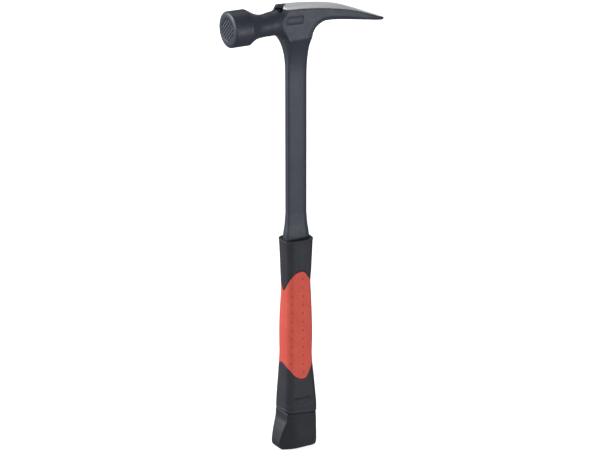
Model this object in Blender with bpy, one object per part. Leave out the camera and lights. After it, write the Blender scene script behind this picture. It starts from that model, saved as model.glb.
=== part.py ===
"""A long-handled, one-piece forged brick and carpenter's hammer.

The steel head, shank and tang are one forging. A magnet in a black seat holds a nail on top of the head.
The handle is a hard black sleeve on the tang, a soft red band in the sleeve's recess, and a butt cap.
+Z runs up the shank, +X points along the pick, and the origin is on the butt's flat end, on the
shank's axis.
Lengths in the tables and constants below are millimetres; Blender's units are metres.
"""

import math

import bmesh
import bpy

MM = 0.001
GAP = 0.3  # clearance between pieces that touch

# Head: a bell and a neck turned about an axis along X, running into a flat-sided cheek and a solid pick.
AXIS_Z = 427.6
FACE_X = -73.0
BELL_RADIUS = 17.1
BELL_BACK_X = -54.6
FACE_CHAMFER = 1.2
NECK_X = -34.0
NECK_RADIUS = 10.6
NECK_SAG = 0.9  # the middle of the neck lies this far below the bell's axis
CHEEK_HALF = 12.5
CROWN_BEVEL = 2.6
LOWER_CHAMFER = 0.9  # along the cheek's lower edge
TIP_X = 95.0
TIP_HALF = 2.0
TAPER_X = 66.0
HEAD_SEGMENTS = 48

# (x, height) along the middle of the head's top and along the pick's underside.
TOP_LINE = [
    (-40, 443.7), (-18, 443.5), (4, 442.8), (24, 441.0),
    (44, 437.7), (62, 432.0), (80, 424.9), (95, 419.2),
]
UNDERSIDE = [(28.5, 426.3), (40, 425.4), (55, 423.4), (73, 420.7), (90.5, 417.7), (95, 418.6)]

# How far the long edges of the head's top lie below its middle, from the cheek to the tip.
CROWN = [(-40, 1.5), (-10, 2.1), (15, 2.6), (40, 2.9), (60, 1.7), (80, 0.7), (95, 0.3)]

# Shank: a flat bar, chamfered in front and bevelled behind, with fillets up into the head.
SHANK_FRONT = -10.3
SHANK_BACK = 10.3
SHANK_HALF = 3.6
FRONT_CHAMFER = (0.8, 0.8)  # on the shank's front edges, back and across
FLARE_CHAMFER = (2.3, 6.0)  # what it grows to below the cheek, to meet the turned flare
BACK_BEVEL = (4.0, 1.1)
FRONT_FOOT = 377.0
FRONT_FILLET = (-30.0, 416.4)
FRONT_POWER = 2.8
BACK_LINE = [(368.0, 10.3), (385.0, 10.3), (395.0, 10.3), (404.0, 10.4), (411.0, 11.2)]
BACK_FILLET = (28.5, 426.3)  # an arc runs from the top of the back line to this point of the underside
THICKEN_FOOT = 368.0
CHEEK_FOOT = 411.0
THICKEN_POWER = 2.6
SHANK_TOP_HALF = 12.0  # just inside the cheek's flat sides
SHANK_TOP = (-14.3, 413.0)  # front and height of its last section, inside the cheek

# Tang inside the handle, and the foot of the shank, which spreads above and inside the collar.
TANG_END = 62.0
TANG_REACH = (8.0, 10.0)  # front and back
TANG_SHOULDER = 200.0
FOOT_ROWS = [(206.0, 2.4, 1.4), (218.0, 2.0, 1.2), (228.0, 0.7, 0.5)]  # height, extra reach, extra half

# Nail holder: a pocket behind the top of the flare, pointed at the rear.
POCKET_FRONT = -21.2
POCKET_HALF = 7.0
POCKET_FLOOR = 433.0
POCKET_APEX = -12.4
POCKET_SHOULDER = -18.0
SEAT_FRONT = -18.6
SEAT_TOP = 440.4
MAGNET_RADIUS = 3.0
MAGNET_LENGTH = 4.0
MAGNET_Z = 436.8

# Handle sections: height, front reach, back reach, half thickness. Corners are round.
GRIP_CORNER = 8.0
GRIP_SECTIONS = [
    (34.0, 17.9, 18.0, 14.3),
    (44.0, 17.8, 17.9, 14.3),
    (57.0, 17.2, 16.9, 13.8),
    (70.0, 16.4, 15.9, 13.2),
    (83.0, 15.7, 14.6, 12.7),
    (95.0, 15.0, 13.8, 12.3),
    (108.0, 15.1, 14.1, 12.3),
    (121.0, 15.1, 14.2, 12.3),
    (133.0, 14.9, 14.0, 12.1),
    (146.0, 14.4, 13.7, 11.7),
    (158.0, 13.7, 13.4, 11.2),
    (169.0, 13.9, 12.9, 11.1),
    (182.0, 14.3, 13.7, 11.5),
    (195.0, 14.6, 14.2, 11.8),
    (214.0, 15.4, 14.9, 12.3),
]
COLLAR_TOP = 214.0
COLLAR_ROUND = 1.2

# Red band: its ends dip at the front and the back of the handle and reach furthest on its two sides.
# Each row is an angle round the handle, from its front at 0 to its back at 180, and a height.
BAND_TOP = [
    (0, 162.5), (9, 163.8), (17, 166.2), (32, 172.8), (41, 176.6), (52, 180.0), (64, 181.9), (80, 182.8),
    (95, 182.4), (110, 180.2), (127, 175.0), (143, 170.2), (180, 165.0),
]
BAND_BOTTOM = [(0, 88.0), (35, 82.6), (60, 75.2), (85, 72.1), (105, 74.0), (134, 84.6), (180, 93.0)]
BAND_MIDDLE = 128.0
BAND_ROWS = 13
BAND_DEPTH = 2.2
BAND_PROUD = 0.1

# Butt cap, and the tilted plane where it meets the sleeve.
SEAM_Z = 36.0
SEAM_TILT = -0.10
CAP_CORNER = 7.0
CAP_NOSE = (23.0, 7.6)  # reach and half width of the flat nose low on the cap
CAP_SLOPE = 0.55  # how fast the bevels beside the nose widen the cap behind it
CAP_SOFT = 6.0  # how far past their meeting with the sides these bevels are still rounding in
CAP_SECTIONS = [
    (0.0, 20.6, 15.6, 13.0),
    (0.5, 21.8, 16.5, 14.0),
    (1.8, 22.8, 17.1, 14.5),
    (6.0, 23.6, 17.3, 14.6),
    (12.0, 22.6, 17.4, 14.6),
    (19.0, 20.8, 17.4, 14.3),
    (25.0, 18.7, 17.4, 14.2),
    (31.0, 16.9, 17.2, 14.1),
    (44.0, 16.5, 17.1, 14.0),
]
SPIGOT = (9.0, 6.0, 12.0)  # half width, half thickness, height of the peg that enters the sleeve

STEEL = ("coated_steel", (0.062, 0.067, 0.082), 0.45, 0.55)
MAGNET = ("magnet_steel", (0.35, 0.35, 0.36), 0.35, 1.0)
SEAT = ("seat_plastic", (0.006, 0.006, 0.006), 0.4, 0.0)
BLACK = ("hard_black", (0.045, 0.047, 0.055), 0.6, 0.0)
RED = ("soft_red", (0.60, 0.10, 0.06), 0.55, 0.0)


def clear_scene():
    for obj in list(bpy.data.objects):
        bpy.data.objects.remove(obj, do_unlink=True)


def material(finish):
    name, colour, roughness, metallic = finish
    made = bpy.data.materials.new(name)
    made.use_nodes = True
    shader = made.node_tree.nodes["Principled BSDF"]
    shader.inputs["Base Color"].default_value = (*colour, 1.0)
    shader.inputs["Roughness"].default_value = roughness
    shader.inputs["Metallic"].default_value = metallic
    return made


def smooth_curve(points, steps):
    """Points along a Catmull-Rom curve through these."""
    ends = [points[0]] + list(points) + [points[-1]]
    found = []
    for before, start, stop, after in zip(ends, ends[1:], ends[2:], ends[3:]):
        for k in range(steps):
            t = k / steps
            found.append(
                tuple(
                    b + t / 2 * ((c - a) + t * ((2 * a - 5 * b + 4 * c - d) + t * (3 * b - a - 3 * c + d)))
                    for a, b, c, d in zip(before, start, stop, after)
                )
            )
    return found + [tuple(points[-1])]


def along(curve, at):
    """The row of a curve's table at this first value, between its neighbours."""
    at = min(max(at, curve[0][0]), curve[-1][0])
    for low, high in zip(curve, curve[1:]):
        if at <= high[0]:
            t = (at - low[0]) / (high[0] - low[0])
            return [a + (b - a) * t for a, b in zip(low[1:], high[1:])]
    return list(curve[-1][1:])


def mesh_object(name, rings, closed=False):
    """A solid skinned over rings of points in order, capped at both ends unless the rings close."""
    bm = bmesh.new()
    rows = [[bm.verts.new([c * MM for c in point]) for point in ring] for ring in rings]
    pairs = list(zip(rows, rows[1:])) + ([(rows[-1], rows[0])] if closed else [])
    for low, high in pairs:
        for i in range(len(low)):
            j = (i + 1) % len(low)
            bm.faces.new((low[i], low[j], high[j], high[i]))
    if not closed:
        bm.faces.new(rows[0][::-1])
        bm.faces.new(rows[-1])
    bmesh.ops.recalc_face_normals(bm, faces=bm.faces)
    mesh = bpy.data.meshes.new(name)
    bm.to_mesh(mesh)
    bm.free()
    obj = bpy.data.objects.new(name, mesh)
    bpy.context.scene.collection.objects.link(obj)
    return obj


def box(name, low, high):
    (x0, y0, z0), (x1, y1, z1) = low, high
    rings = [[(x0, y0, z), (x1, y0, z), (x1, y1, z), (x0, y1, z)] for z in (z0, z1)]
    return mesh_object(name, rings)


def turned(name, profile, centre_z, segments, sag=None):
    """A solid turned about the line along X at this height, from (x, radius) rows, lowered by its sag."""
    rings = []
    for x, radius in profile:
        centre = centre_z - (sag(x) if sag else 0.0)
        angles = [2 * math.pi * k / segments for k in range(segments)]
        rings.append([(x, radius * math.cos(a), centre + radius * math.sin(a)) for a in angles])
    return mesh_object(name, rings)


def neck_sag(x):
    """How far the neck's centre lies below the bell's axis: most at its middle, none at its ends."""
    reach = min(1.0, abs(x - (NECK_X - 4)) / 14.0)
    return NECK_SAG * (0.5 + 0.5 * math.cos(math.pi * reach))


def helper(obj):
    obj.hide_render = True
    obj.display_type = "WIRE"
    return obj


def combine(obj, operation, other):
    step = obj.modifiers.new(f"{operation.lower()}_{other.name}", "BOOLEAN")
    step.operation = operation
    step.object = helper(other)
    step.solver = "EXACT"


def finish_piece(obj, finish, crease_degrees=35):
    obj.data.materials.append(material(finish))
    obj.data.shade_smooth()
    obj.data.set_sharp_from_angle(angle=math.radians(crease_degrees))
    return obj


def superellipse(reach, power):
    """How far along its other side a fillet is at this part of its reach, both from 0 to 1."""
    return (1 - min(max(reach, 0.0), 1.0) ** power) ** (1 / power)


def flare_radius(x):
    """The turned surface of the flare behind the neck."""
    start, level = FRONT_FILLET
    reach = (x - start) / (SHANK_FRONT - start)
    return AXIS_Z - FRONT_FOOT - (level - FRONT_FOOT) * superellipse(reach, FRONT_POWER)


def shank_front(z):
    start, level = FRONT_FILLET
    reach = (z - FRONT_FOOT) / (level - FRONT_FOOT)
    return start + (SHANK_FRONT - start) * superellipse(reach, FRONT_POWER)


def underside(x, line):
    """The height of the pick's underside and, behind the shank, of the arc down to the shank's back."""
    end_x, end_z = BACK_FILLET
    if x >= end_x:
        return along(line, x)[0]
    start_z, start_x = BACK_LINE[-1]
    return start_z + (end_z - start_z) * superellipse((end_x - x) / (end_x - start_x), 2.0)


def bevel_top(x, top, bottom):
    """The height where the flat side of the head gives way to the bevel along its underside."""
    end_x, end_z = BACK_FILLET
    start_z, start_x = BACK_LINE[-1]
    wide = BACK_BEVEL[0]
    if x >= end_x:
        return bottom + wide * min(1.0, (top - bottom) / (TOP_LINE[3][1] - end_z))
    reach = (end_x - x) / (end_x - start_x + wide)
    arc = start_z + (end_z - start_z + wide) * superellipse(reach, 2.0)
    return max(arc, bottom + LOWER_CHAMFER)


def pick_half(x):
    """Half the pick's width: even along the pick, then rounding in to the narrow tip."""
    reach = max(0.0, (x - TAPER_X) / (TIP_X - TAPER_X))
    return TIP_HALF + (CHEEK_HALF - TIP_HALF) * math.sqrt(max(0.0, 1 - reach**2.2))


def head_section(x, top, bottom, half, drop):
    """A section across the head: crowned on top, flat at the sides and bevelled below."""
    narrowing = min(1.0, half / CHEEK_HALF)
    crown = CROWN_BEVEL * narrowing * min(1.0, (top - bottom) / (AXIS_Z - CHEEK_FOOT))
    under = BACK_BEVEL[1] * narrowing
    side = [(half * 0.45, top), (half - crown, top - drop * 0.4), (half, top - drop),
            (half, bevel_top(x, top, bottom)), (half - under, bottom)]
    return [(x, y, z) for y, z in side] + [(x, -y, z) for y, z in side[::-1]]


def shank_section(z, front, back, half, widened=0.0):
    """A section across the shank. Its front chamfer grows with how far it has widened, from 0 to 1."""
    bevel_x, bevel_y = BACK_BEVEL
    cut_x, cut_y = (a + (b - a) * widened for a, b in zip(FRONT_CHAMFER, FLARE_CHAMFER))
    near = [(front, half - cut_y), (front + cut_x, half)]
    near += [(back - bevel_x, half), (back, half - bevel_y)]
    return [(x, y, z) for x, y in near] + [(x, -y, z) for x, y in near[::-1]]


def head_loft(name, start, stop, count, proud, floor):
    """The flat-sided part of the head between two places along X, widened by this much."""
    top_line = smooth_curve(TOP_LINE, 6)
    under_line = smooth_curve(UNDERSIDE, 6)
    crown_line = smooth_curve(CROWN, 4)
    rings = []
    for k in range(count + 1):
        x = start + (stop - start) * k / count
        top = along(top_line, x)[0] + proud
        bottom = floor if floor else underside(x, under_line)
        rings.append(head_section(x, top, bottom, pick_half(x) + proud, along(crown_line, x)[0]))
    return mesh_object(name, rings)


def bell_and_neck():
    profile = [(FACE_X, BELL_RADIUS - FACE_CHAMFER), (FACE_X + FACE_CHAMFER, BELL_RADIUS)]
    profile += [(BELL_BACK_X, BELL_RADIUS), (BELL_BACK_X + 1.2, BELL_RADIUS - 0.8)]
    profile += smooth_curve([(-48.8, 14.0), (-45.0, 12.2), (-40.0, 11.0), (NECK_X, NECK_RADIUS)], 3)
    steps = 12
    start, last = FRONT_FILLET[0], SHANK_FRONT - 1.0
    flare = [start + (last - start) * k / steps for k in range(steps + 1)]
    profile += [(x, flare_radius(x)) for x in flare]
    return turned("forged_body", profile, AXIS_Z, HEAD_SEGMENTS, neck_sag)


def shank_and_tang():
    front, back = TANG_REACH
    rings = [shank_section(z, -front, back, SHANK_HALF) for z in (TANG_END, TANG_SHOULDER)]
    for z, out, up in FOOT_ROWS:
        rings.append(shank_section(z, SHANK_FRONT - out, SHANK_BACK + out, SHANK_HALF + up))
    steps = 12
    heights = [THICKEN_FOOT + (CHEEK_FOOT - THICKEN_FOOT) * k / steps for k in range(steps + 1)]
    for z in [240.0, 300.0, 350.0] + heights:
        widened = max(0.0, (z - THICKEN_FOOT) / (CHEEK_FOOT - THICKEN_FOOT)) ** THICKEN_POWER
        half = SHANK_HALF + (SHANK_TOP_HALF - SHANK_HALF) * widened
        rings.append(shank_section(z, shank_front(z), along(BACK_LINE, z)[0], half, widened))
    front, top = SHANK_TOP
    inside_cheek = shank_section(top, front, SHANK_BACK, SHANK_TOP_HALF)
    return mesh_object("shank_shape", rings + [inside_cheek])


def forged_body():
    body = bell_and_neck()
    keep_bell = box("bell_room", (FACE_X - 5, -30, AXIS_Z - 30), (NECK_X - 1, 30, AXIS_Z + 30))
    cheek_room = head_loft("cheek_room", NECK_X - 2, SHANK_FRONT + 5, 6, 0.02, CHEEK_FOOT - 0.6)
    combine(keep_bell, "UNION", cheek_room)
    combine(body, "INTERSECT", keep_bell)
    combine(body, "UNION", head_loft("pick_shape", SHANK_FRONT - 4.5, TIP_X, 34, 0.0, None))
    combine(body, "UNION", shank_and_tang())
    combine(body, "DIFFERENCE", seat_prism("pocket_shape", 0.0, POCKET_FRONT, POCKET_FLOOR, AXIS_Z + 30))
    return finish_piece(body, STEEL)


def seat_prism(name, inset, front, floor, top):
    half, apex, shoulder = POCKET_HALF - inset, POCKET_APEX - inset, POCKET_SHOULDER - inset
    plan = [(front, -half), (shoulder, -half), (apex, 0.0), (shoulder, half), (front, half)]
    return mesh_object(name, [[(x, y, z) for x, y in plan] for z in (floor + inset, top)])


def magnet_seat():
    seat = seat_prism("magnet_seat", GAP, SEAT_FRONT, POCKET_FLOOR, SEAT_TOP)
    bore = [(SEAT_FRONT - 2, MAGNET_RADIUS + GAP), (SEAT_FRONT + MAGNET_LENGTH, MAGNET_RADIUS + GAP)]
    combine(seat, "DIFFERENCE", turned("magnet_bore", bore, MAGNET_Z, 24))
    return finish_piece(seat, SEAT)


def nail_magnet():
    front, edge = SEAT_FRONT + 0.2, 0.3
    back = SEAT_FRONT + MAGNET_LENGTH - GAP
    profile = [(front, MAGNET_RADIUS - edge), (front + edge, MAGNET_RADIUS), (back, MAGNET_RADIUS)]
    return finish_piece(turned("nail_magnet", profile, MAGNET_Z, 24), MAGNET)


def rounded(front, back, half, corner, z, grow=0.0, steps=6):
    """A round-cornered handle section as points, counted from the middle of the front's near side."""
    centres = [(-front + corner, -half + corner, 180), (back - corner, -half + corner, 270),
               (back - corner, half - corner, 0), (-front + corner, half - corner, 90)]
    points = []
    for cx, cy, start in centres:
        for k in range(steps + 1):
            angle = math.radians(start + 90 * k / steps)
            reach = corner + grow
            points.append((cx + reach * math.cos(angle), cy + reach * math.sin(angle), z))
    return points


def band_end(places, wave):
    """The height of one end of the band at each of these places round the handle."""
    (near_front, low), (near_back, high) = wave[1], wave[-2]
    curve = smooth_curve([(-near_front, low), *wave, (360 - near_back, high)], 6)
    return [along(curve, math.degrees(math.atan2(abs(y), -x)))[0] for x, y, _ in places]


def band_ring(name, inner, outer, spare):
    """A wavy-ended ring between two offsets of the handle's surface, longer at both ends by the spare."""
    curve = smooth_curve(GRIP_SECTIONS, 4)
    middle = rounded(*along(curve, BAND_MIDDLE), GRIP_CORNER, 0.0)
    tops = [z + spare for z in band_end(middle, BAND_TOP)]
    bottoms = [z - spare for z in band_end(middle, BAND_BOTTOM)]

    def skin(grow, share):
        """A ring round the handle at this share of the way up the band."""
        heights = [low + (high - low) * share for low, high in zip(bottoms, tops)]
        return [rounded(*along(curve, z), GRIP_CORNER, z, grow)[i] for i, z in enumerate(heights)]

    shares = [k / BAND_ROWS for k in range(BAND_ROWS + 1)]
    outside = [skin(outer, share) for share in shares]
    inside = [skin(inner, share) for share in reversed(shares)]
    return mesh_object(name, outside + inside, closed=True)


def grip_sleeve():
    curve = smooth_curve(GRIP_SECTIONS, 2)
    heights = [row[0] for row in curve if row[0] < COLLAR_TOP - COLLAR_ROUND]
    rings = [rounded(*GRIP_SECTIONS[0][1:], GRIP_CORNER, 20.0)]
    rings += [rounded(*along(curve, z), GRIP_CORNER, z) for z in heights]
    for k in range(4):
        angle = math.radians(30 * k)
        drop, inset = COLLAR_ROUND * (1 - math.sin(angle)), COLLAR_ROUND * (1 - math.cos(angle))
        z = COLLAR_TOP - drop
        rings.append(rounded(*along(curve, z), GRIP_CORNER, z, -inset))
    sleeve = mesh_object("grip_sleeve", rings)
    combine(sleeve, "DIFFERENCE", band_ring("band_recess", -BAND_DEPTH, 6.0, 0.0))
    combine(sleeve, "DIFFERENCE", tang_slot())
    combine(sleeve, "DIFFERENCE", below_seam("cap_room", GAP / 2))
    width, depth, height = SPIGOT
    far_corner = (width + GAP, depth + GAP, SEAM_Z + height + GAP)
    combine(sleeve, "DIFFERENCE", box("socket", (-width - GAP, -depth - GAP, 10), far_corner))
    return finish_piece(sleeve, BLACK)


def tang_slot():
    """The slot that the tang fills, wider at the collar as the shank's foot is."""
    front, back = TANG_REACH
    _, out, up = FOOT_ROWS[0]
    narrow = (-front, back, SHANK_HALF)
    wide = (SHANK_FRONT - out, SHANK_BACK + out, SHANK_HALF + up)
    rows = [(TANG_END - 2.0, narrow), (TANG_SHOULDER, narrow)]
    rows += [(FOOT_ROWS[0][0], wide), (FOOT_ROWS[1][0], wide)]
    rings = []
    for z, (low, high, half) in rows:
        x0, x1, y = low - GAP, high + GAP, half + GAP
        rings.append([(x0, -y, z), (x1, -y, z), (x1, y, z), (x0, y, z)])
    return mesh_object("tang_slot", rings)


def below_seam(name, lift):
    corners = [(-40, -40), (40, -40), (40, 40), (-40, 40)]
    top = [(x, y, SEAM_Z + SEAM_TILT * x + lift) for x, y in corners]
    return mesh_object(name, [[(x, y, -10) for x, y in corners], top])


def cap_section(z, front, back, half, steps=6):
    """A section of the cap: a flat nose between two long bevels, and round corners behind."""
    reach, width = CAP_NOSE
    crease = min(width + (reach - front) * CAP_SLOPE, half - 1.5)
    meet = -front + (half - crease) / CAP_SLOPE
    side = []
    for k in range(steps + 1):
        t = k / steps
        x = (1 - t) ** 2 * -front + 2 * t * (1 - t) * meet + t * t * (meet + CAP_SOFT)
        side.append((x, (1 - t) ** 2 * crease + 2 * t * (1 - t) * half + t * t * half))
    behind = rounded(front, back, half, CAP_CORNER, z, steps=steps)[steps + 1:3 * steps + 3]
    return [(x, -y, z) for x, y in side] + behind + [(x, y, z) for x, y in side[::-1]]


def butt_cap():
    cap = mesh_object("butt_cap", [cap_section(*row) for row in smooth_curve(CAP_SECTIONS, 2)])
    combine(cap, "INTERSECT", below_seam("cap_keep", -GAP / 2))
    width, depth, height = SPIGOT
    combine(cap, "UNION", box("spigot", (-width, -depth, 12), (width, depth, SEAM_Z + height)))
    return finish_piece(cap, BLACK)


def grip_band():
    return finish_piece(band_ring("grip_band", 2 * GAP - BAND_DEPTH, BAND_PROUD, -2 * GAP), RED)


def build():
    clear_scene()
    forged_body()
    magnet_seat()
    nail_magnet()
    grip_sleeve()
    grip_band()
    butt_cap()


build()
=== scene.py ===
"""The looks of a long-handled, one-piece forged hammer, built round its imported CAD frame.

The forging with its milled face and ground top, and the handle's sleeve, dimpled band and butt cap are
remade here at a finer scale. The nail magnet and its seat keep their CAD shapes and get new materials.
Lengths are millimetres unless a name says otherwise.
"""

import math

import bmesh
import bpy
import numpy as np
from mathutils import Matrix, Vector


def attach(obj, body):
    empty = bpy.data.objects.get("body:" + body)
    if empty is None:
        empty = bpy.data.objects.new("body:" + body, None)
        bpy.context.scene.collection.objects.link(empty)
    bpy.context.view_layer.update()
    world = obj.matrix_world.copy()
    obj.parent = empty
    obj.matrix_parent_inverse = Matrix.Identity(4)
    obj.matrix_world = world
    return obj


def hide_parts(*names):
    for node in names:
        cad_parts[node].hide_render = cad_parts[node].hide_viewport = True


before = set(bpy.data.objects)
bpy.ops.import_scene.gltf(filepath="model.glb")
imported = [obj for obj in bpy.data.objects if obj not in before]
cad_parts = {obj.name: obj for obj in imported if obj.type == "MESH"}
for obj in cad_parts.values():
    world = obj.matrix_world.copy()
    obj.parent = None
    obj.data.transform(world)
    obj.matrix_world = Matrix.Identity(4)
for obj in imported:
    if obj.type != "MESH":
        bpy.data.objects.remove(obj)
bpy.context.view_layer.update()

MM = 0.001

# ---- Head ----
AXIS_Z = 427.6
FACE_X = -73.0
FLAT_RADIUS = 14.2
BELL_RADIUS = 17.1
BELL_BACK_X = -54.6
# Of each point of the bell's rounded edges: how far behind its face or back, and how far in from its radius.
FACE_EDGE = [(0.75, 0.7), (1.5, 0.0)]
BACK_EDGE = (0.9, 0.5)
SHOULDER_LEAN = 1.5
SHOULDER_REACH = 9.0
TURNED_LINES = (-57.6, -56.3, -55.2)
LINE_HALF_WIDTH = 0.5
LINE_DEPTH = 0.22
MILLED_RADIUS = 10.8
MILLED_POCKET = 1.0
MILLED_LIP = (0.2, 0.25)
MILLED_GRID = 121
GROOVE_PITCH = 2.9
GROOVE_DEPTH = 0.85
GROOVE_SHARES = (1.0, 0.4)
NECK_X = -34.0
NECK_RADIUS = 10.6
NECK_LINE = [(-53.0, 16.1), (-48.8, 14.0), (-45.0, 12.2), (-40.0, 11.0), (NECK_X, NECK_RADIUS)]
NECK_SAG = 0.9
NECK_SAG_X = -38.0
NECK_SAG_REACH = 14.0
CHEEK_HALF = 12.5
CHEEK_START_X = -14.8
CROWN_BEVEL = 2.6
CROWN_FLAT = 0.45
LOWER_CHAMFER = 0.9
TIP_X = 94.6
TIP_HALF = 2.0
TAPER_X = 66.0
TAPER_END_X = 95.0
TAPER_POWER = 2.2
TOP_LINE = [
    (-40, 443.7), (-18, 443.5), (4, 442.8), (24, 441.0),
    (44, 437.7), (62, 432.0), (80, 424.9), (95, 419.2),
]
UNDERSIDE = [(28.5, 426.3), (40, 425.4), (55, 423.4), (73, 420.7), (90.5, 417.7), (95, 418.6)]
CROWN = [(-40, 1.5), (-10, 2.1), (15, 2.6), (40, 2.9), (60, 1.7), (80, 0.7), (95, 0.3)]
PLATE_CENTRE = (-8.1, 430.8)
PLATE_HALF = (9.0, 3.5)
PLATE_CORNER = 2.2
PLATE_DEPTH = 0.55
PLATE_RIM = 1.2
PLATE_WALL = 0.8
PLATE_RAISED = 0.6
GROUND_DEEPEST = 1.2
NEVER_GROUND = -3.0
VOXEL = 0.42
SMOOTHING = (0.5, 3)
TRIANGLES_KEPT = 0.6

# ---- Shank ----
SHANK_FRONT = -10.3
SHANK_BACK = 10.3
SHANK_HALF = 3.6
SHANK_TOP_HALF = 12.0
SHANK_TOP = (-14.3, 413.0)
FRONT_CHAMFER = (0.8, 0.8)
FLARE_CHAMFER = (2.3, 6.0)
SHANK_CROWN = 0.3
BACK_BEVEL = (4.0, 1.1)
FRONT_FOOT = 377.0
FRONT_FILLET = (-30.0, 416.4)
FRONT_POWER = 2.8
BACK_LINE = [(368.0, 10.3), (385.0, 10.3), (395.0, 10.3), (404.0, 10.4), (411.0, 11.2)]
BACK_FILLET = (28.5, 426.3)
THICKEN_FOOT = 368.0
CHEEK_FOOT = 411.0
THICKEN_POWER = 2.6
STRAIGHT_ROWS = (300.0, 366.0)
# Of each row of the foot: its height, and how far it stands out along X and along Y.
FOOT_ROWS = [(200.0, 2.4, 1.4), (206.0, 2.4, 1.4), (218.0, 2.0, 1.2), (228.0, 0.7, 0.5), (240.0, 0.0, 0.0)]

# ---- Nail holder ----
POCKET_HALF = 7.0
POCKET_FLOOR = 433.0
POCKET_FRONT = -21.2
POCKET_APEX = -12.4
POCKET_SHOULDER = -18.0

# ---- Handle ----
GRIP_CORNER = 8.0
# Of each section of the sleeve and of the cap: its height, front reach, back reach and half thickness.
GRIP_SECTIONS = [
    (34.0, 17.9, 18.0, 14.3), (44.0, 17.8, 17.9, 14.3), (57.0, 17.2, 16.9, 13.8),
    (70.0, 16.4, 15.9, 13.2), (83.0, 15.7, 14.6, 12.7), (95.0, 15.0, 13.8, 12.3),
    (108.0, 15.1, 14.1, 12.3), (121.0, 15.1, 14.2, 12.3), (133.0, 14.9, 14.0, 12.1),
    (146.0, 14.4, 13.7, 11.7), (158.0, 13.7, 13.4, 11.2), (169.0, 13.9, 12.9, 11.1),
    (182.0, 14.3, 13.7, 11.5), (195.0, 14.6, 14.2, 11.8), (214.0, 15.4, 14.9, 12.3),
]
GRIP_PLATE = ((-1.2, 49.8), (9.8, 4.2))
GRIP_PLATE_DEPTH = 1.0
COLLAR_TOP = 214.0
COLLAR_GAP = 0.35
COLLAR_BEAD = 0.2
COLLAR_LIP = 0.7
# From the rim to the mouth: the share of the way in, and how far below the collar's top.
COLLAR_MOUTH = [
    (0.25, 0.0), (0.42, 0.12), (0.5, 0.5), (0.62, 0.75), (0.96, 0.8), (1.0, 0.95), (1.0, 8.0),
]
BAND_MIDDLE = 128.0
BAND_RECESS = 1.6
BAND_GAP = 0.35
BAND_PROUD = 0.12
BAND_ROOT = -1.5
BAND_EDGE = [(0.0, BAND_ROOT), (0.0, -0.7), (0.05, -0.3), (0.2, -0.05), (0.5, 0.08), (0.9, BAND_PROUD)]
# Of each place round an end of the red band: its angle from the front, in degrees, and its height.
BAND_TOP = [
    (0, 162.5), (9, 163.8), (17, 166.2), (32, 172.8), (41, 176.6), (52, 180.0), (64, 181.9), (80, 182.8),
    (95, 182.4), (110, 180.2), (127, 175.0), (143, 170.2), (180, 165.0),
]
BAND_BOTTOM = [(0, 88.0), (35, 82.6), (60, 75.2), (85, 72.1), (105, 74.0), (134, 84.6), (180, 93.0)]
DIMPLE_RADIUS = 0.95
DIMPLE_DEPTH = 0.75
# Of each row: its top and bottom places as (x, height), how many dimples, and how far it faces forward.
DIMPLE_ROWS = [((0.5, 174.8), (0.5, 79.2), 12, 0.0), ((-10.4, 166.5), (-11.9, 89.2), 10, 55.0)]
SEAM_Z = 36.0
SEAM_TILT = -0.10
# Of each row of the sleeve's lower edge, the groove above it and the recess's ends: how far along and out.
SLEEVE_EDGE = [(0.15, -3.0), (0.15, -1.1), (0.5, -0.5), (1.2, 0.0)]
SLEEVE_GROOVE = [(3.4, 0.0), (3.7, -0.3), (4.0, -0.3), (4.3, 0.0)]
RECESS_EDGE = [(0.8, 0.0), (0.35, -0.1), (0.1, -0.35), (0.0, -0.8), (0.0, -BAND_RECESS)]
CAP_CORNER = 7.0
CAP_NOSE = (23.0, 7.6)
CAP_SLOPE = 0.55
CAP_SOFT = 6.0
CAP_REACH = 15.0
CAP_SECTIONS = [
    (0.0, 20.6, 15.6, 13.0), (0.5, 21.8, 16.5, 14.0), (1.8, 22.8, 17.1, 14.5), (6.0, 23.6, 17.3, 14.6),
    (12.0, 22.6, 17.4, 14.6), (19.0, 20.8, 17.4, 14.3), (25.0, 18.7, 17.4, 14.2), (31.0, 16.9, 17.2, 14.1),
    (44.0, 16.5, 17.1, 14.0),
]


def dense(points, steps=12):
    """A table of rows along a Catmull-Rom curve through these."""
    p = np.array([points[0], *points, points[-1]], float)
    t = np.arange(steps)[:, None] / steps
    rows = [
        b + 0.5 * t * ((c - a) + t * ((2 * a - 5 * b + 4 * c - d) + t * (3 * b - a - 3 * c + d)))
        for a, b, c, d in zip(p, p[1:], p[2:], p[3:])
    ]
    return np.vstack([*rows, p[-1:]])


def reader(points):
    """A function from the first column of a smooth curve to its other columns."""
    table = dense(points)
    return lambda at: [np.interp(at, table[:, 0], table[:, k]) for k in range(1, table.shape[1])]


top_line = reader(TOP_LINE)
underside_line = reader(UNDERSIDE)
crown_line = reader(CROWN)
back_line = reader(BACK_LINE)
grip_at = reader(GRIP_SECTIONS)
cap_at = reader(CAP_SECTIONS)


def skin(name, rings, closed=False):
    """A solid through rings of points (rows, columns, 3), capped at both ends unless the rings close."""
    rings = np.asarray(rings, float) * MM
    rows, columns = rings.shape[:2]
    index = np.arange(rows * columns).reshape(rows, columns)
    low = index if closed else index[:-1]
    high = np.roll(index, -1, axis=0) if closed else index[1:]
    quads = np.stack([low, np.roll(low, -1, axis=1), np.roll(high, -1, axis=1), high], axis=-1)
    faces = quads.reshape(-1, 4).tolist()
    if not closed:
        faces += [index[0][::-1].tolist(), index[-1].tolist()]
    mesh = bpy.data.meshes.new(name)
    mesh.from_pydata(rings.reshape(-1, 3).tolist(), [], faces)
    mesh.validate()
    mesh.update()
    obj = bpy.data.objects.new(name, mesh)
    bpy.context.scene.collection.objects.link(obj)
    return obj


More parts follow.
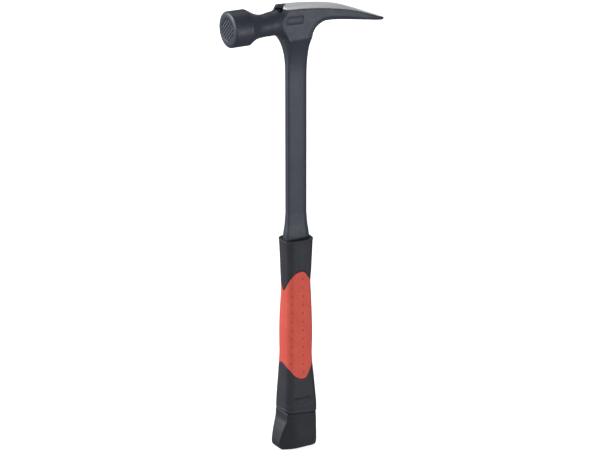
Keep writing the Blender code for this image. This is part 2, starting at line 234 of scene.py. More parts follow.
def bake_modifiers(obj):
    """Replaces an object's mesh by what its modifiers make of it."""
    graph = bpy.context.evaluated_depsgraph_get()
    made = bpy.data.meshes.new_from_object(obj.evaluated_get(graph))
    obj.modifiers.clear()
    old, obj.data = obj.data, made
    bpy.data.meshes.remove(old)
    made.name = obj.name


def subtract(obj, cutter):
    step = obj.modifiers.new("cut", "BOOLEAN")
    step.operation, step.solver, step.object = "DIFFERENCE", "EXACT", cutter
    bake_modifiers(obj)


def join(name, parts):
    """One mesh holding all these objects' meshes, which are removed."""
    points, faces = [], []
    for part in parts:
        start = len(points)
        points += [v.co.copy() for v in part.data.vertices]
        faces += [[start + i for i in p.vertices] for p in part.data.polygons]
        bpy.data.objects.remove(part, do_unlink=True)
    mesh = bpy.data.meshes.new(name)
    mesh.from_pydata(points, [], faces)
    obj = bpy.data.objects.new(name, mesh)
    bpy.context.scene.collection.objects.link(obj)
    return obj


def coordinates(mesh):
    flat = np.empty(len(mesh.vertices) * 3, np.float32)
    mesh.vertices.foreach_get("co", flat)
    return flat.reshape(-1, 3).astype(float) / MM


def set_coordinates(mesh, points):
    mesh.vertices.foreach_set("co", (points * MM).astype(np.float32).ravel())
    mesh.update()


def store(mesh, name, values):
    """Keeps one number for each point of the mesh, for its material to read."""
    layer = mesh.attributes.new(name, "FLOAT", "POINT")
    layer.data.foreach_set("value", values.astype(np.float32))


def superellipse(reach, power):
    return (1 - np.clip(reach, 0, 1) ** power) ** (1 / power)


# ---- The forging ----
def flare_radius(x):
    """The radius that carries the neck's underside down into the shank's front."""
    start, level = FRONT_FILLET
    reach = (x - start) / (SHANK_FRONT - start)
    return AXIS_Z - FRONT_FOOT - (level - FRONT_FOOT) * superellipse(reach, FRONT_POWER)


def neck_sag(x):
    reach = np.minimum(1.0, np.abs(x - NECK_SAG_X) / NECK_SAG_REACH)
    return NECK_SAG * (0.5 + 0.5 * np.cos(math.pi * reach))


def bell_and_neck():
    """The turned front of the head, pressed flat where it runs into the cheek."""
    pocket_x = FACE_X + MILLED_POCKET
    lip_depth, lip_width = MILLED_LIP
    profile = [(pocket_x, 1.0), (pocket_x, MILLED_RADIUS), (FACE_X + lip_depth, MILLED_RADIUS)]
    profile += [(FACE_X, MILLED_RADIUS + lip_width), (FACE_X, FLAT_RADIUS)]
    profile += [(FACE_X + along, BELL_RADIUS - inside) for along, inside in FACE_EDGE]
    profile += [(BELL_BACK_X, BELL_RADIUS), (BELL_BACK_X + BACK_EDGE[0], BELL_RADIUS - BACK_EDGE[1])]
    profile += [tuple(row) for row in dense(NECK_LINE, 8)]
    profile += [(x, flare_radius(x)) for x in np.linspace(FRONT_FILLET[0], SHANK_FRONT - 1.0, 60)]
    segments = 256
    angles = np.linspace(0, 2 * math.pi, segments, endpoint=False)
    rings = []
    for x, radius in profile:
        y = radius * np.cos(angles)
        z = AXIS_Z - neck_sag(x) + radius * np.sin(angles)
        if x > NECK_X:
            y = np.clip(y, -CHEEK_HALF, CHEEK_HALF)
            top, drop = top_line(x)[0], crown_line(x)[0]
            z = np.clip(z, CHEEK_FOOT - 0.6, top - crown_fall(y, CHEEK_HALF, drop))
        near_shoulder = max(0.0, 1 - abs(x - BELL_BACK_X) / SHOULDER_REACH)
        lean = SHOULDER_LEAN * near_shoulder * np.maximum(0, -np.sin(angles))
        rings.append(np.stack([x + lean, y, z], axis=-1))
    return skin("bell_shape", rings)


def crown_fall(y, half, drop):
    """How far the head's top lies below its middle at this distance across, for a top this wide."""
    across = np.abs(y) / np.maximum(half, 1e-6)
    edge = 1 - CROWN_BEVEL / CHEEK_HALF
    inner = np.clip((across - CROWN_FLAT) / (edge - CROWN_FLAT), 0, 1)
    outer = np.clip((across - edge) / (1 - edge), 0, 1)
    return drop * (0.4 * inner**1.5 + 0.6 * outer)


def pick_half(x):
    reach = np.clip((x - TAPER_X) / (TAPER_END_X - TAPER_X), 0, 1)
    return TIP_HALF + (CHEEK_HALF - TIP_HALF) * np.sqrt(1 - reach**TAPER_POWER)


def underside(x):
    end_x, end_z = BACK_FILLET
    start_z, start_x = BACK_LINE[-1]
    arc = start_z + (end_z - start_z) * superellipse((end_x - x) / (end_x - start_x), 2.0)
    return np.where(x >= end_x, underside_line(x)[0], arc)


def bevel_top(x, top, bottom):
    """The height where the flat side of the head gives way to the bevel along its underside."""
    end_x, end_z = BACK_FILLET
    start_z, start_x = BACK_LINE[-1]
    wide = BACK_BEVEL[0]
    if x >= end_x:
        full_depth = TOP_LINE[3][1] - end_z
        return bottom + wide * min(1.0, (top - bottom) / full_depth)
    reach = (end_x - x) / (end_x - start_x + wide)
    arc = start_z + (end_z - start_z + wide) * superellipse(reach, 2.0)
    return max(arc, bottom + LOWER_CHAMFER)


def pick_and_cheek():
    rings = []
    for x in np.linspace(CHEEK_START_X, TIP_X, 240):
        top, drop = top_line(x)[0], crown_line(x)[0]
        bottom, half = float(underside(x)), float(pick_half(x))
        under = BACK_BEVEL[1] * min(1.0, half / CHEEK_HALF)
        across = np.concatenate([np.linspace(0, 0.8, 9), np.linspace(0.84, 1, 5)]) * half
        upper = [(y, top - min(crown_fall(y, half, drop), 0.6 * (top - bottom))) for y in across]
        lower = [(half, bevel_top(x, top, bottom)), (half - under, bottom)]
        lower += [((half - under) * 0.5, bottom), (0.0, bottom)]
        side = upper + lower
        loop = side + [(-y, z) for y, z in side[-2:0:-1]]
        rings.append([(x, y, z) for y, z in loop])
    return skin("pick_form", rings)


def shank_section(z, front, back, half, widened=0.0):
    """Points round the shank: its front chamfer grows with the flare, and its sides are a little crowned."""
    bevel_x, bevel_y = BACK_BEVEL
    cut_x, cut_y = (a + (b - a) * widened for a, b in zip(FRONT_CHAMFER, FLARE_CHAMFER))
    start, stop = front + cut_x, back - bevel_x
    side = [(front, half - cut_y)]
    for t in np.linspace(0, 1, 13):
        side.append((start + (stop - start) * t, half + SHANK_CROWN * 4 * t * (1 - t)))
    side.append((back, half - bevel_y))
    return [(x, y, z) for x, y in side] + [(x, -y, z) for x, y in side[::-1]]


def shank():
    foot = dense([(z, out, up) for z, out, up in FOOT_ROWS], 6)
    rings = [shank_section(z, SHANK_FRONT - out, SHANK_BACK + out, SHANK_HALF + up) for z, out, up in foot]
    rings += [shank_section(z, SHANK_FRONT, SHANK_BACK, SHANK_HALF) for z in STRAIGHT_ROWS]
    start, level = FRONT_FILLET
    for z in np.linspace(THICKEN_FOOT, CHEEK_FOOT, 60):
        widened = ((z - THICKEN_FOOT) / (CHEEK_FOOT - THICKEN_FOOT)) ** THICKEN_POWER
        half = SHANK_HALF + (SHANK_TOP_HALF - SHANK_HALF) * widened
        flare = superellipse((z - FRONT_FOOT) / (level - FRONT_FOOT), FRONT_POWER)
        front = start + (SHANK_FRONT - start) * flare
        rings.append(shank_section(z, front, back_line(z)[0], half, widened))
    top_front, top_z = SHANK_TOP
    rings.append(shank_section(top_z, top_front, SHANK_BACK, SHANK_TOP_HALF))
    return skin("shank_form", rings)


def pocket_prism():
    """The shape of the nail holder's recess, from its floor to well above the head."""
    plan = [
        (POCKET_FRONT, -POCKET_HALF), (POCKET_SHOULDER, -POCKET_HALF), (POCKET_APEX, 0.0),
        (POCKET_SHOULDER, POCKET_HALF), (POCKET_FRONT, POCKET_HALF),
    ]
    return skin("pocket_form", [[(x, y, z) for x, y in plan] for z in (POCKET_FLOOR, AXIS_Z + 30)])


def forging():
    """The head and shank in one, with the ground strip along its top as an attribute."""
    pocket = pocket_prism()
    parts = [bell_and_neck(), pick_and_cheek()]
    for part in parts:
        subtract(part, pocket)
    bpy.data.objects.remove(pocket, do_unlink=True)
    body = join("forging", parts + [shank()])
    remesh = body.modifiers.new("remesh", "REMESH")
    remesh.mode, remesh.voxel_size, remesh.adaptivity = "VOXEL", VOXEL * MM, 0.0
    soften = body.modifiers.new("soften", "SMOOTH")
    soften.factor, soften.iterations = SMOOTHING
    bake_modifiers(body)
    press_details(body.data)
    thin = body.modifiers.new("thin", "DECIMATE")
    thin.ratio = TRIANGLES_KEPT
    bake_modifiers(body)
    mark_ground_strip(body.data)
    body.data.shade_smooth()
    return body


def oblong_depth(x, z, centre, half, corner, wall):
    """From 0 outside a round-cornered oblong to 1 inside it, over a wall this wide."""
    qx = np.abs(x - centre[0]) - half[0] + corner
    qz = np.abs(z - centre[1]) - half[1] + corner
    away = np.hypot(np.maximum(qx, 0), np.maximum(qz, 0)) + np.minimum(np.maximum(qx, qz), 0) - corner
    step = np.clip(0.5 - away / wall, 0, 1)
    return step * step * (3 - 2 * step)


def press_details(mesh):
    """Sinks a blank plate with a raised middle into each cheek, and turned lines into the bell's back."""
    points = coordinates(mesh)
    x, y, z = points.T
    outer = oblong_depth(x, z, PLATE_CENTRE, PLATE_HALF, PLATE_CORNER, PLATE_WALL)
    inner_half = (PLATE_HALF[0] - PLATE_RIM, PLATE_HALF[1] - PLATE_RIM)
    inner = oblong_depth(x, z, PLATE_CENTRE, inner_half, PLATE_CORNER - 1.0, PLATE_WALL)
    on_cheek = np.abs(y) > CHEEK_HALF - 1.0
    points[:, 1] -= np.sign(y) * PLATE_DEPTH * (outer - PLATE_RAISED * inner) * on_cheek
    radius = np.hypot(y, z - AXIS_Z)
    on_bell = (radius > BELL_RADIUS - 0.5) & (x < BELL_BACK_X + 1)
    grooves = sum(np.clip(1 - np.abs(x - line) / LINE_HALF_WIDTH, 0, 1) for line in TURNED_LINES)
    cut = grooves * LINE_DEPTH * on_bell
    points[:, 1] -= y / np.maximum(radius, 1) * cut
    points[:, 2] -= (z - AXIS_Z) / np.maximum(radius, 1) * cut
    set_coordinates(mesh, points)


def mark_ground_strip(mesh):
    """Stores, at each point, how far inside the ground strip on top of the head it lies, in millimetres."""
    x, y, z = coordinates(mesh).T
    edge = top_line(x)[0] - crown_line(x)[0]
    inside = np.minimum(z - edge, GROUND_DEEPEST)
    # The strip starts further forward on the near side, where y is negative, than on the far one.
    front = np.where(y > 0, POCKET_APEX + 2.0 + 0.15 * np.abs(y), POCKET_APEX - 0.9 * np.abs(y))
    inside = np.minimum(inside, (x - front) * 0.7)
    store(mesh, "ground", inside)


def milled_face():
    """The rough disc in the striking face: a square grid drawn out to a disc, cut by two sets of grooves."""
    count = MILLED_GRID
    radius = MILLED_RADIUS - 0.02
    side = np.linspace(-1, 1, count)
    a, b = np.meshgrid(side, side)
    big = np.maximum(np.abs(a), np.abs(b))
    length = np.hypot(a, b)
    scale = np.where(length > 0, big / np.maximum(length, 1e-9), 1.0)
    blend = big**2
    stretch = (1 - blend) + blend * scale
    shrink = radius / np.max(np.hypot(a * stretch, b * stretch)[0])
    y, z = a * stretch * shrink, b * stretch * shrink
    diagonals = ((y + z) / math.sqrt(2), (y - z) / math.sqrt(2))
    waves = [np.abs((axis / GROOVE_PITCH) % 1 - 0.5) * 2 for axis in diagonals]
    cuts = [share * np.clip((g - 0.22) / 0.62, 0, 1) for g, share in zip(waves, GROOVE_SHARES)]
    fade = np.clip((radius - np.hypot(y, z)) / 0.7, 0, 1)
    x = FACE_X + 0.03 + GROOVE_DEPTH * np.max(cuts, axis=0) * fade
    points = np.stack([x, y, z + AXIS_Z], axis=-1).reshape(-1, 3)
    index = np.arange(count * count).reshape(count, count)
    quads = np.stack([index[:-1, :-1], index[1:, :-1], index[1:, 1:], index[:-1, 1:]], axis=-1)
    rim = np.concatenate([index[0, :-1], index[:-1, -1], index[-1, :0:-1], index[:0:-1, 0]])
    back = points[rim].copy()
    back[:, 0] = FACE_X + MILLED_POCKET + 0.4
    start = len(points)
    ring = np.arange(start, start + len(rim))
    walls = np.stack([rim, np.roll(rim, -1), np.roll(ring, -1), ring], axis=-1)
    mesh = bpy.data.meshes.new("milled_face")
    faces = quads.reshape(-1, 4).tolist() + walls.tolist() + [ring[::-1].tolist()]
    mesh.from_pydata((np.vstack([points, back]) * MM).tolist(), [], faces)
    mesh.update()
    store(mesh, "ground", np.full(len(mesh.vertices), NEVER_GROUND))
    obj = bpy.data.objects.new("milled_face", mesh)
    bpy.context.scene.collection.objects.link(obj)
    fix_normals(obj)
    obj.data.shade_smooth()
    obj.data.set_sharp_from_angle(angle=math.radians(28))
    return obj


def fix_normals(obj):
    bm = bmesh.new()
    bm.from_mesh(obj.data)
    bmesh.ops.recalc_face_normals(bm, faces=bm.faces)
    bm.to_mesh(obj.data)
    bm.free()


# ---- The handle ----
def columns(straight_front=14, arc=30, straight_side=46):
    """The places round a handle section: each one's corner, its outward direction and its bulge."""
    found = []

    def corner(sx, sy, start):
        for k in range(arc):
            angle = math.radians(start + 90 * k / arc)
            found.append((sx, sy, math.cos(angle), math.sin(angle), 0.0))

    def run(count, begin, end, nx, ny):
        for k in range(count):
            t = k / count
            sx, sy = (p + (q - p) * t for p, q in zip(begin, end))
            found.append((sx, sy, nx, ny, math.sin(math.pi * t)))

    corner(-1, -1, 180)
    run(straight_side, (-1, -1), (1, -1), 0, -1)
    corner(1, -1, 270)
    run(straight_front, (1, -1), (1, 1), 1, 0)
    corner(1, 1, 0)
    run(straight_side, (1, 1), (-1, 1), 0, 1)
    corner(-1, 1, 90)
    run(straight_front, (-1, 1), (-1, -1), -1, 0)
    return np.array(found).T


PLACES = columns()


def section(at, z, corner, grow, bulge=0.6):
    """Handle surface points at these heights, one for each place round it, moved out by grow."""
    sx, sy, nx, ny, swell = PLACES
    z = np.broadcast_to(np.asarray(z, float), sx.shape)
    front, back, half = at(z)
    reach = corner + grow + bulge * swell
    x = (back - corner) * (1 + sx) / 2 - (front - corner) * (1 - sx) / 2 + reach * nx
    y = (half - corner) * sy + reach * ny
    return np.stack([x, y, z], axis=-1)


def wave(ends):
    """The height of one end of the red band at each place round the handle."""
    (near_front, low), (near_back, high) = ends[1], ends[-2]
    table = dense([(-near_front, low), *ends, (360 - near_back, high)])
    x, y, _ = section(grip_at, BAND_MIDDLE, GRIP_CORNER, 0.0).T
    return np.interp(np.degrees(np.arctan2(np.abs(y), -x)), table[:, 0], table[:, 1])


def grip_rows(plan):
    return [section(grip_at, z, GRIP_CORNER, grow) for z, grow in plan]


def between(low, high, count):
    """Heights evenly spaced between these two, without the ends."""
    return [low + (high - low) * (k + 1) / (count + 1) for k in range(count)]


def grip_sleeve():
    """The black sleeve, from its seam with the cap past the band's recess to the collar round the shank."""
    low, high = wave(BAND_BOTTOM), wave(BAND_TOP)
    seam = SEAM_Z + SEAM_TILT * section(grip_at, SEAM_Z, GRIP_CORNER, 0.0)[:, 0]
    plan = [(seam + rise, grow) for rise, grow in SLEEVE_EDGE]
    plan += [(z, 0.0) for z in between(seam + SLEEVE_EDGE[-1][0], seam + SLEEVE_GROOVE[0][0], 3)]
    plan += [(seam + rise, grow) for rise, grow in SLEEVE_GROOVE]
    plan += [(z, 0.0) for z in between(seam + SLEEVE_GROOVE[-1][0], low - 1.0, 70)]
    plan += [(low - away, grow) for away, grow in RECESS_EDGE]
    plan += [(z, -BAND_RECESS) for z in between(low, high, 20)]
    plan += [(high + away, grow) for away, grow in RECESS_EDGE[::-1]]
    lip = COLLAR_TOP - 1.6
    plan += [(z, 0.0) for z in between(high + 1.0, lip - 2.0, 34)]
    plan += [(lip - 1.6, 0.0), (lip - 1.0, 0.12), (lip - 0.4, COLLAR_BEAD)]
    for k in range(6):
        angle = math.radians(90 * k / 5)
        drop, inward = COLLAR_LIP * (1 - math.sin(angle)), COLLAR_LIP * (1 - math.cos(angle))
        plan.append((COLLAR_TOP - drop, COLLAR_BEAD - inward))
    rings = grip_rows(plan)
    rings += collar_mouth(rings[-1])
    sleeve = skin("grip_sleeve_fine", rings)
    press_grip_plate(sleeve.data)
    sleeve.data.shade_smooth()
    sleeve.data.set_sharp_from_angle(angle=math.radians(50))
    return sleeve


def collar_mouth(rim):
    """From the collar's rim in over its top to the mouth round the shank, and down inside."""
    sx, sy, nx, ny, _ = PLACES
    corner = 1.2
    reach_x, reach_y = SHANK_BACK + 2.2 + COLLAR_GAP, SHANK_HALF + 1.3 + COLLAR_GAP
    mouth_x, mouth_y = (reach_x - corner) * sx + corner * nx, (reach_y - corner) * sy + corner * ny
    mouth = np.stack([mouth_x, mouth_y], axis=-1)
    rows = []
    for share, dip in COLLAR_MOUTH:
        flat = rim[:, :2] + (mouth - rim[:, :2]) * share
        rows.append(np.column_stack([flat, np.full(len(flat), COLLAR_TOP - dip)]))
    return rows


def grip_band():
    """The soft band, a little proud of the sleeve, with rounded ends and its rows of dimples."""
    low, high = wave(BAND_BOTTOM) + BAND_GAP, wave(BAND_TOP) - BAND_GAP
    rounded = BAND_EDGE[-1][0]
    plan = [(low + rise, grow) for rise, grow in BAND_EDGE]
    plan += [(z, BAND_PROUD) for z in between(low + rounded, high - rounded, 230)]
    plan += [(high - rise, grow) for rise, grow in BAND_EDGE[::-1]]
    plan += [(z, BAND_ROOT) for z in between(high, low, 10)]
    band = skin("grip_band_fine", grip_rows(plan), closed=True)
    press_dimples(band.data)
    band.data.shade_smooth()
    band.data.set_sharp_from_angle(angle=math.radians(60))
    return band


def press_grip_plate(mesh):
    """Sinks a blank lens-shaped plate into each side of the sleeve below the band."""
    (centre_x, centre_z), (half_x, half_z) = GRIP_PLATE
    points = coordinates(mesh)
    x, y, z = points.T
    across = (x - centre_x) / half_x
    floor = centre_z - half_z * np.sqrt(np.clip(1 - across**2, 0, 1))
    lens = np.clip((z - floor) / 0.7, 0, 1) * np.clip((centre_z + half_z * 0.9 - z) / 2.5, 0, 1)
    inside = lens * np.clip((1 - np.abs(across)) / 0.08, 0, 1) * (np.abs(y) > 10.0)
    points[:, 1] -= np.sign(y) * GRIP_PLATE_DEPTH * inside
    set_coordinates(mesh, points)


def press_dimples(mesh):
    """Two rows of dimples on each side: one down its middle and one along the corner in front of it."""
    points = coordinates(mesh)
    x, y, z = points.T
    depth = np.zeros(len(x))
    lean = np.zeros(len(x))
    outer = np.abs(y) > 6.5
    for top, bottom, count, tilt in DIMPLE_ROWS:
        turn = math.radians(tilt)
        for place_x, place_z in np.linspace(top, bottom, count):
            away = np.hypot((x - place_x) / math.cos(turn), z - place_z) / DIMPLE_RADIUS
            dip = np.clip(1 - away**2, 0, 1) * outer
            lean = np.where(dip > 0, turn, lean)
            depth = np.maximum(depth, dip)
    points[:, 0] += np.sin(lean) * DIMPLE_DEPTH * depth
    points[:, 1] -= np.sign(y) * np.cos(lean) * DIMPLE_DEPTH * depth
    set_coordinates(mesh, points)
    # The depth is kept so that the red material can paint shade down in the dimples.
    store(mesh, "dimple", depth)


def cap_section(z, grow=0.0):
    """Points round the butt cap at these heights: a flat nose, a long bevel each side of it, round behind."""
    nose, bevel, side, arc, rear = 10, 18, 26, 14, 10
    count = nose + bevel + side + arc + rear
    z = np.broadcast_to(np.asarray(z, float), (2 * count,))

    def half_ring(z, way):
        front, back, half = cap_at(z)
        crease = np.minimum(CAP_NOSE[1] + (CAP_NOSE[0] - front) * CAP_SLOPE, half - 1.5)
        meet = -front + (half - crease) / CAP_SLOPE
        k = np.arange(count)
        t = np.clip((k - nose) / bevel, 0, 1)
        x = (1 - t) ** 2 * -front + 2 * t * (1 - t) * meet + t * t * (meet + CAP_SOFT)
        y = (1 - t) ** 2 * crease + 2 * t * (1 - t) * half + t * t * half
        y = np.where(k < nose, crease * (k + 0.5) / (nose + 0.5), y)
        x = np.where(k < nose, -front - 0.25 * (1 - ((k + 0.5) / (nose + 0.5)) ** 2), x)
        along = np.clip((k - nose - bevel) / side, 0, 1)
        x = x + along * (back - CAP_CORNER - meet - CAP_SOFT)
        turn = np.clip((k - nose - bevel - side) / arc, 0, 1) * math.pi / 2
        x = x + CAP_CORNER * np.sin(turn)
        y = y - CAP_CORNER * (1 - np.cos(turn))
        past = np.clip((k - nose - bevel - side - arc) / rear, 0, 1)
        y = y - past * (half - CAP_CORNER) * 0.98
        return np.stack([x, way * y, z], axis=-1)

    near = half_ring(z[:count], -1)
    far = half_ring(z[count:][::-1], 1)[::-1]
    ring = np.vstack([near, far])
    ring[:, :2] *= 1 + grow / CAP_REACH
    return ring


def butt_cap():
    """The cap from its flat end up to the tilted seam under the sleeve."""
    seam = SEAM_Z + SEAM_TILT * cap_section(SEAM_Z)[:, 0]
    plan = [(0.0, -6.0), (0.0, -0.3)]
    plan += [(z, 0.0) for z in (0.12, 0.3, 0.5, 0.9, 1.4, 1.9)]
    plan += [(z, 0.0) for z in between(2.0, seam - 1.2, 56)]
    plan += [(seam - 1.1, 0.0), (seam - 0.5, -0.35), (seam - 0.15, -0.9), (seam - 0.15, -3.0)]
    cap = skin("butt_cap_fine", [cap_section(z, grow) for z, grow in plan])
    cap.data.shade_smooth()
    cap.data.set_sharp_from_angle(angle=math.radians(24))
    return cap


# ---- Materials: each colour is a darker and a lighter tone, mottled together ----
COAT = (0.036, 0.043, 0.060), (0.045, 0.054, 0.073)
# Painted shade: the darker coat along the edge of the ground strip, standing in for that edge's shade.
COAT_EDGE_SHADE = (0.016, 0.018, 0.024)
BARE_STEEL = (0.84, 0.845, 0.86), (0.93, 0.935, 0.95)
GRIP_BLACK = (0.030, 0.033, 0.041), (0.038, 0.041, 0.050)
GRIP_RED = (0.86, 0.118, 0.080), (0.92, 0.138, 0.096)
# Painted shade: the darker red that stands in for the shadow down in the band's dimples.
DIMPLE_SHADE_RED = (0.5, 0.06, 0.042)
CAP_BLACK = (0.022, 0.024, 0.028), (0.028, 0.030, 0.035)
SEAT_BLACK = (0.002, 0.002, 0.002), (0.004, 0.004, 0.004)
PLATING = (0.20, 0.20, 0.21), (0.32, 0.32, 0.33)
PALE = (0.93, 0.93, 0.93), (0.95, 0.95, 0.95)
GRAIN = 1500.0


class Nodes:
    """A material's node tree, with short calls for the nodes that these materials share."""

    def __init__(self, name, roughness, metallic=0.0, specular=0.5):
        self.material = bpy.data.materials.new(name)
        self.material.use_nodes = True
        self.tree = self.material.node_tree
        self.shader = self.tree.nodes["Principled BSDF"]
        self.shader.inputs["Roughness"].default_value = roughness
        self.shader.inputs["Metallic"].default_value = metallic
        self.shader.inputs["Specular IOR Level"].default_value = specular

    def add(self, kind, **settings):
        node = self.tree.nodes.new(kind)
        for name, value in settings.items():
            setattr(node, name, value)
        return node

    def link(self, source, target):
        self.tree.links.new(source, target)

    def place(self, stretch=(1, 1, 1)):
        """The object's own coordinates in metres, stretched."""
        where = self.add("ShaderNodeTexCoord").outputs["Object"]
        mapping = self.add("ShaderNodeMapping")
        mapping.inputs["Scale"].default_value = stretch
        self.link(where, mapping.inputs["Vector"])
        return mapping.outputs["Vector"]

    def noise(self, scale, detail, stretch=(1, 1, 1)):
        node = self.add("ShaderNodeTexNoise")
        node.inputs["Scale"].default_value = scale
        node.inputs["Detail"].default_value = detail
        self.link(self.place(stretch), node.inputs["Vector"])
        return node.outputs["Fac"]

    def spread(self, value, low, high, out_low=0.0, out_high=1.0):
        """A number carried from one range to another, and held inside it."""
        node = self.add("ShaderNodeMapRange")
        limits = {"From Min": low, "From Max": high, "To Min": out_low, "To Max": out_high}
        for name, number in limits.items():
            node.inputs[name].default_value = number
        self.link(value, node.inputs["Value"])
        return node.outputs["Result"]

    def mottle(self, scale, detail, low=0.0, high=1.0):
        """Noise of this scale, spread over the whole range from low to high."""
        return self.spread(self.noise(scale, detail), 0.3, 0.7, low, high)

    def mix(self, share, first, second):
        """Two colours, or the outputs that carry them, mixed."""
        node = self.add("ShaderNodeMix", data_type="RGBA")
        self.link(share, node.inputs["Factor"])
        for socket, value in ((node.inputs[6], first), (node.inputs[7], second)):
            if isinstance(value, tuple):
                socket.default_value = (*value, 1.0)
            else:
                self.link(value, socket)
        return node.outputs[2]

    def blend(self, share, first, second):
        """Two numbers, or the outputs that carry them, mixed."""
        node = self.add("ShaderNodeMix", data_type="FLOAT")
        self.link(share, node.inputs["Factor"])
        for socket, value in ((node.inputs[2], first), (node.inputs[3], second)):
            if isinstance(value, float):
                socket.default_value = value
            else:
                self.link(value, socket)
        return node.outputs[0]

    def bump(self, height, distance_mm, strength):
        node = self.add("ShaderNodeBump")
        node.inputs["Distance"].default_value = distance_mm * MM
        node.inputs["Strength"].default_value = strength
        self.link(height, node.inputs["Height"])
        self.link(node.outputs["Normal"], self.shader.inputs["Normal"])


def coated_steel():
    """Satin black coat over forged steel, with bare ground steel where the top has been ground, and a dark
    band of painted shade on the coat along the strip's edge.
    """
    nodes = Nodes("coated_steel", 0.45, specular=0.5)
    coat = nodes.mix(nodes.mottle(60, 4), *COAT)
    attribute = nodes.add("ShaderNodeAttribute", attribute_name="ground")
    wobble = nodes.mottle(400, 2, -0.12, 0.12)
    total = nodes.add("ShaderNodeMath", operation="ADD")
    nodes.link(attribute.outputs["Fac"], total.inputs[0])
    nodes.link(wobble, total.inputs[1])
    ground = nodes.spread(total.outputs[0], 0.0, 0.25)
    # Painted shade: within about a millimetre outside the ground strip, the coat darkens to the edge's shade
    # colour.
    lip = nodes.spread(attribute.outputs["Fac"], -1.1, -0.1)
    coat = nodes.mix(lip, coat, COAT_EDGE_SHADE)
    grain = nodes.noise(900, 3, (0.06, 1, 1))
    steel = nodes.mix(nodes.spread(grain, 0.3, 0.7), *BARE_STEEL)
    nodes.link(nodes.mix(ground, coat, steel), nodes.shader.inputs["Base Color"])
    nodes.link(nodes.blend(ground, 0.0, 0.6), nodes.shader.inputs["Metallic"])
    peel = nodes.mottle(250, 2, 0.42, 0.52)
    nodes.link(nodes.blend(ground, peel, 0.5), nodes.shader.inputs["Roughness"])
    fine = nodes.noise(700, 2)
    nodes.bump(nodes.blend(ground, fine, grain), 0.03, 0.5)
    return nodes.material


def moulded(name, tones, roughness, specular, hollow_shade=None):
    """Moulded plastic or rubber with a fine grain, and a darker colour painted down in its dimples as their
    shade if one is given.
    """
    nodes = Nodes(name, roughness, specular=specular)
    tone = nodes.mix(nodes.mottle(90, 3), *tones)
    if hollow_shade:
        # Painted shade: the colour darkens down in the dimples, following their stored depth.
        attribute = nodes.add("ShaderNodeAttribute", attribute_name="dimple")
        tone = nodes.mix(nodes.spread(attribute.outputs["Fac"], 0.0, 0.7), tone, hollow_shade)
    nodes.link(tone, nodes.shader.inputs["Base Color"])
    sheen = nodes.mottle(500, 2, roughness - 0.05, roughness + 0.05)
    nodes.link(sheen, nodes.shader.inputs["Roughness"])
    nodes.bump(nodes.noise(GRAIN, 2), 0.03, 0.5)
    return nodes.material


def magnet_metal():
    nodes = Nodes("magnet_plating", 0.35, metallic=1.0)
    tone = nodes.mix(nodes.mottle(800, 3), *PLATING)
    nodes.link(tone, nodes.shader.inputs["Base Color"])
    nodes.bump(nodes.noise(GRAIN, 2), 0.01, 0.5)
    return nodes.material


def floor_material():
    nodes = Nodes("pale_floor", 0.9, specular=0.0)
    tone = nodes.mix(nodes.mottle(6, 2), *PALE)
    nodes.link(tone, nodes.shader.inputs["Base Color"])
    nodes.shader.inputs["Emission Color"].default_value = (1, 1, 1, 1)
    nodes.shader.inputs["Emission Strength"].default_value = 0.75
    return nodes.material


# ---- Assembly ----
def dress(piece, material, slot, *nodes):
    """Gives a remade piece its material, and puts it in the frame in place of these CAD nodes."""
    piece.data.materials.clear()
    piece.data.materials.append(material)
    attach(piece, "root")
    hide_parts(*nodes)


def carried(node, material):
    """A CAD node that keeps its shape and gets a better material."""
    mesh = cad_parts[node].data
    mesh.materials.clear()
    mesh.materials.append(material)


def camera():
    """Looks at the middle of the hammer from the striking face's side and a little above."""
    azimuth, elevation, distance, lens = -30.69, 19.1, 2.347, 147.27
    middle = Vector((0, 0, 0.220))
    a, e = math.radians(azimuth), math.radians(elevation)
    back = Vector((math.sin(a) * math.cos(e), -math.cos(a) * math.cos(e), math.sin(e)))
    right = Vector((math.cos(a), math.sin(a), 0))
    up = back.cross(right)
    data = bpy.data.cameras.new("camera")
    data.lens, data.sensor_width = lens, 36.0
    data.clip_start, data.clip_end = 0.1, 50
    obj = bpy.data.objects.new("camera", data)
    eye = middle + back * distance
    aim = middle + right * 0.0038 + up * 0.0059
    obj.location = eye
    obj.rotation_euler = (aim - eye).to_track_quat("-Z", "Y").to_euler()
    bpy.context.scene.collection.objects.link(obj)
    bpy.context.scene.camera = obj


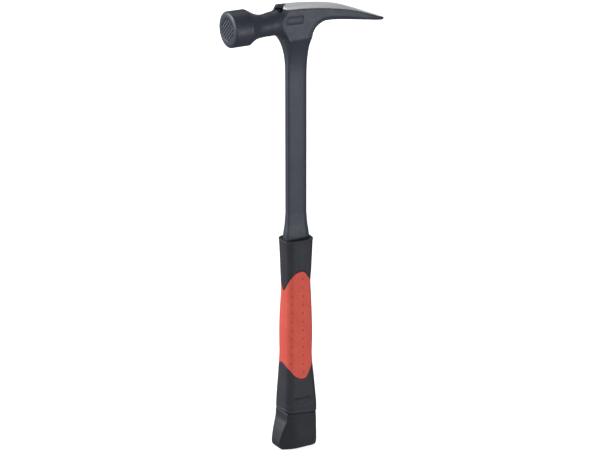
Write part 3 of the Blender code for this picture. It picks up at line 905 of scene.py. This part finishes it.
def area_light(name, place, size, power, aim):
    data = bpy.data.lights.new(name, "AREA")
    data.shape, data.size, data.size_y, data.energy = "RECTANGLE", *size, power
    data.color = (0.95, 0.97, 1.0)
    obj = bpy.data.objects.new(name, data)
    obj.location = place
    obj.rotation_euler = (Vector(aim) - Vector(place)).to_track_quat("-Z", "Y").to_euler()
    obj.visible_camera = False
    bpy.context.scene.collection.objects.link(obj)


def pale_floor():
    """A wide slab just under the butt cap."""
    reach = 6000.0
    plan = [(-reach, -reach), (reach, -reach), (reach, reach), (-reach, reach)]
    floor = skin("floor", [[(x, y, z) for x, y in plan] for z in (-20.0, -0.2)])
    floor.data.materials.append(floor_material())
    floor.visible_diffuse = floor.visible_glossy = False


def studio():
    """Six soft lights round the hammer, a dim world and a pale floor."""
    bpy.context.scene.view_settings.view_transform = "Standard"
    world = bpy.data.worlds.new("studio")
    world.use_nodes = True
    world.node_tree.nodes["Background"].inputs["Color"].default_value = (1.0, 1.0, 1.03, 1)
    world.node_tree.nodes["Background"].inputs["Strength"].default_value = 0.19
    bpy.context.scene.world = world
    area_light("right", (0.8, -1.9, 0.3), (0.8, 0.8), 4.5, (0, 0, 0.22))
    area_light("left", (-1.9, 1.4, 0.8), (0.8, 0.8), 47, (0, 0, 0.3))
    area_light("front_left", (-1.1, -1.7, 0.7), (0.7, 0.7), 10, (0, 0, 0.3))
    area_light("back", (1.2, 1.6, 0.4), (1.0, 0.6), 3.5, (0, 0, 0.3))
    area_light("above", (0.5, 0.9, 2.0), (1.4, 0.8), 5.5, (0, 0, 0.35))
    area_light("near", (0.6, -1.1, 0.12), (0.5, 0.3), 3.5, (0, 0, 0.15))
    pale_floor()


steel = coated_steel()
black = moulded("grip_black", GRIP_BLACK, 0.55, 0.45)
red = moulded("grip_red", GRIP_RED, 0.6, 0.4, hollow_shade=DIMPLE_SHADE_RED)
cap_black = moulded("cap_black", CAP_BLACK, 0.55, 0.45)
seat_black = moulded("seat_black", SEAT_BLACK, 0.75, 0.05)

dress(forging(), steel, "coated_steel", "forged_body")
dress(milled_face(), steel, "coated_steel", "forged_body")
dress(grip_sleeve(), black, "grip_black", "grip_sleeve")
dress(grip_band(), red, "grip_red", "grip_band")
dress(butt_cap(), cap_black, "cap_black", "butt_cap")
carried("magnet_seat", seat_black)
carried("nail_magnet", magnet_metal())
camera()
studio()
